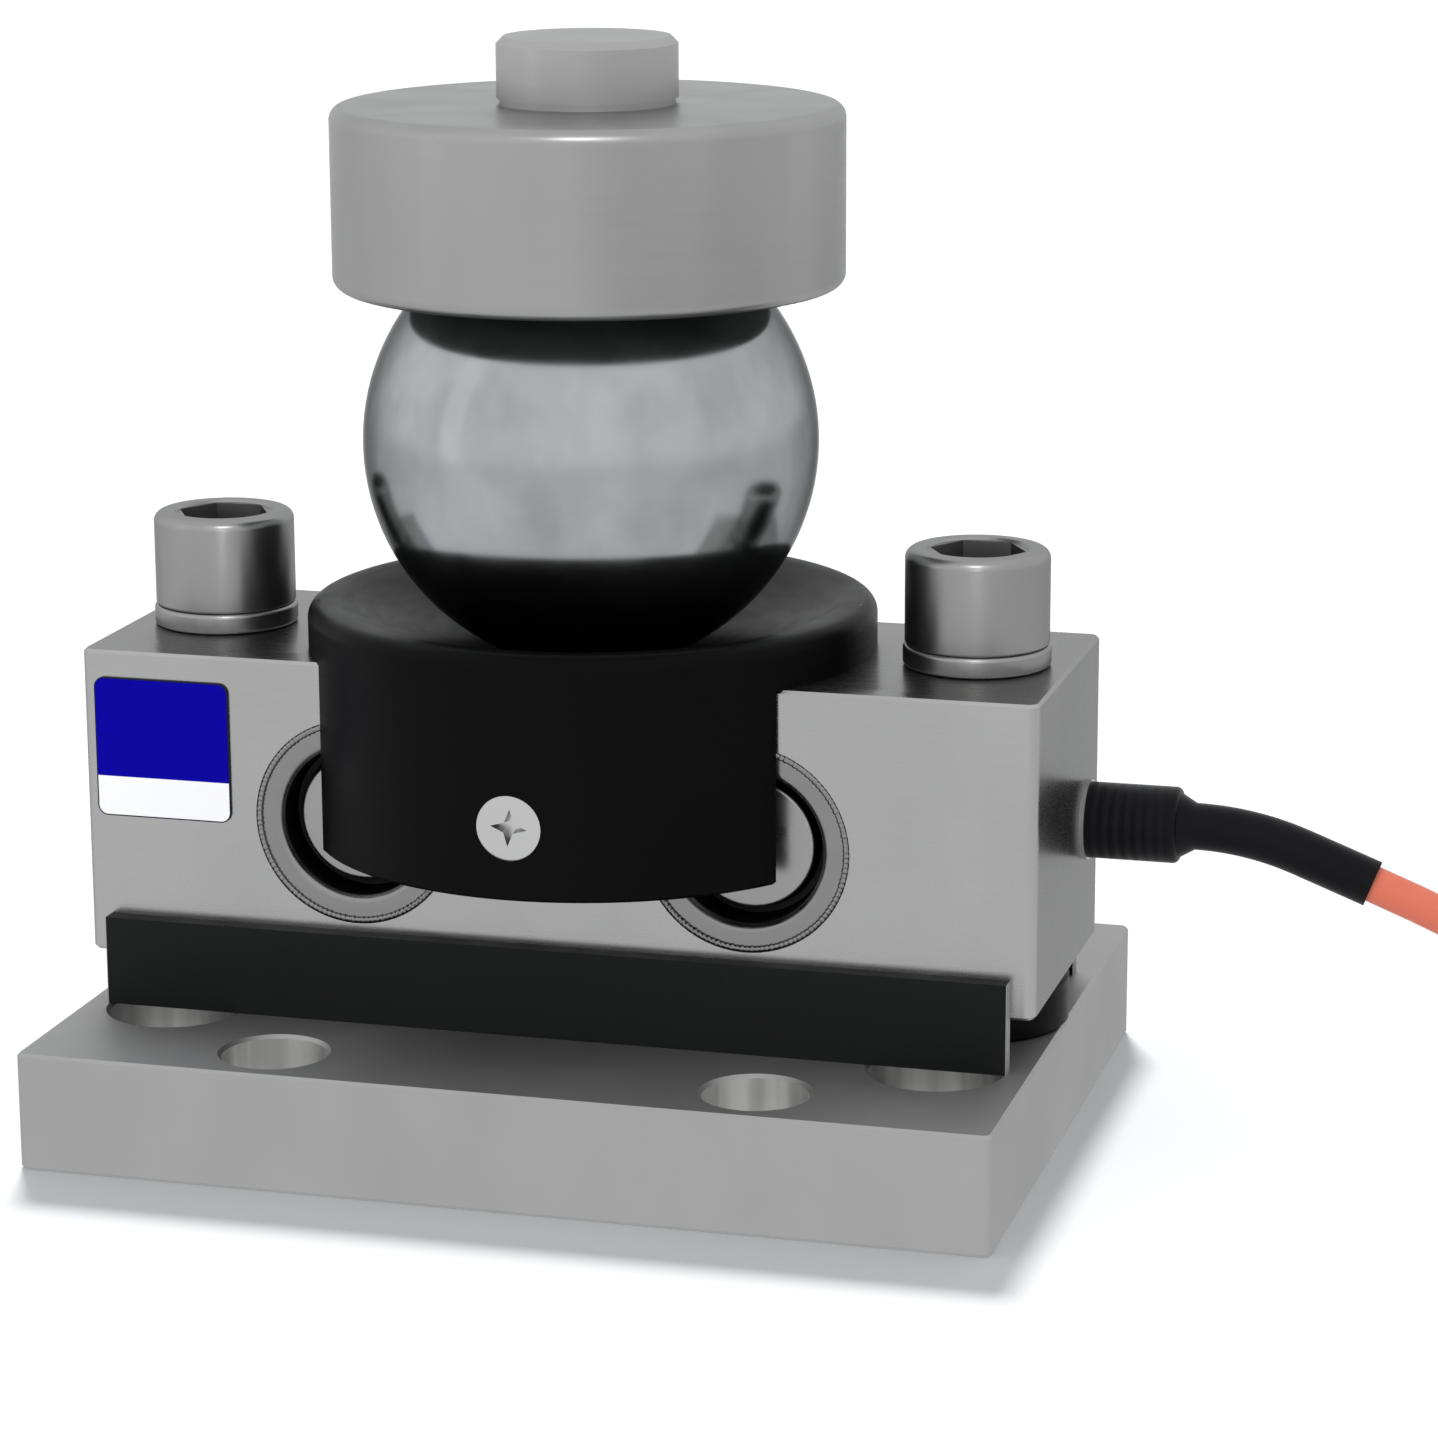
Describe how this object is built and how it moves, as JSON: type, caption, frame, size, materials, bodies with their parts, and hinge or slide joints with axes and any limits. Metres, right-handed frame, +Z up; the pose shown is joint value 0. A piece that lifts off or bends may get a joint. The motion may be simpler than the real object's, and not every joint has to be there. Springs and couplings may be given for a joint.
{
  "type": "weighing load cell",
  "caption": "Double-ended shear beam load cell on a base plate, loaded through a slotted saddle, a ball and a cup, with a signal cable.",
  "frame": {"origin": "centre of the base plate's underside", "axes": "+X along the beam towards the cable exit, +Y to the back, away from the nameplate, +Z up"},
  "size_m": [0.3728, 0.1289, 0.1827],
  "materials": {
    "nickel_plated_steel": "satin nickel plating",
    "turned_steel": "turned, plated, satin",
    "polished_steel": "polished hardened steel",
    "black_oxide_steel": "black oxide, slight gloss",
    "drawn_stainless": "thin drawn sheet, bright",
    "zinc_screw": "zinc plated",
    "guard_black": "matte black coating",
    "plate_film": "printed film, bare, blue above and white below",
    "ferrule_metal": "turned",
    "boot_rubber": "moulded, slight sheen",
    "cable_jacket": "orange-red polyurethane jacket",
    "tinned_wire": "tinned copper strands",
    "tie_strap": "hook and loop strap",
    "gauge_film": "amber backing film",
    "board": "green glass-fibre board"
  },
  "bodies": {
    "root": {"base_plate": "nickel_plated_steel", "cable_boot": "boot_rubber", "cable_coil": "cable_jacket", "cable_leads": "tinned_wire", "coil_tie_1": "tie_strap", "coil_tie_2": "tie_strap", "coil_tie_3": "tie_strap", "gland_ferrule": "ferrule_metal", "guard_strip_back": "guard_black", "guard_strip_front": "guard_black", "loading_saddle": "black_oxide_steel", "locating_pin": "turned_steel", "mounting_screw_left": "zinc_screw", "mounting_screw_right": "zinc_screw", "nameplate": "plate_film", "saddle_screw_back": "zinc_screw", "saddle_screw_front": "zinc_screw", "seal_cup_back_left": "drawn_stainless", "seal_cup_back_right": "drawn_stainless", "seal_cup_front_left": "drawn_stainless", "seal_cup_front_right": "drawn_stainless", "shear_beam": "nickel_plated_steel", "signal_cable": "cable_jacket", "spacer_collar_left": "black_oxide_steel", "spacer_collar_right": "black_oxide_steel", "spring_washer_left": "zinc_screw", "spring_washer_right": "zinc_screw", "steel_ball": "polished_steel", "strain_gauge_back_left": "gauge_film", "strain_gauge_back_right": "gauge_film", "strain_gauge_front_left": "gauge_film", "strain_gauge_front_right": "gauge_film", "terminal_board": "board", "upper_cup": "turned_steel"}
  },
  "joints": []
}
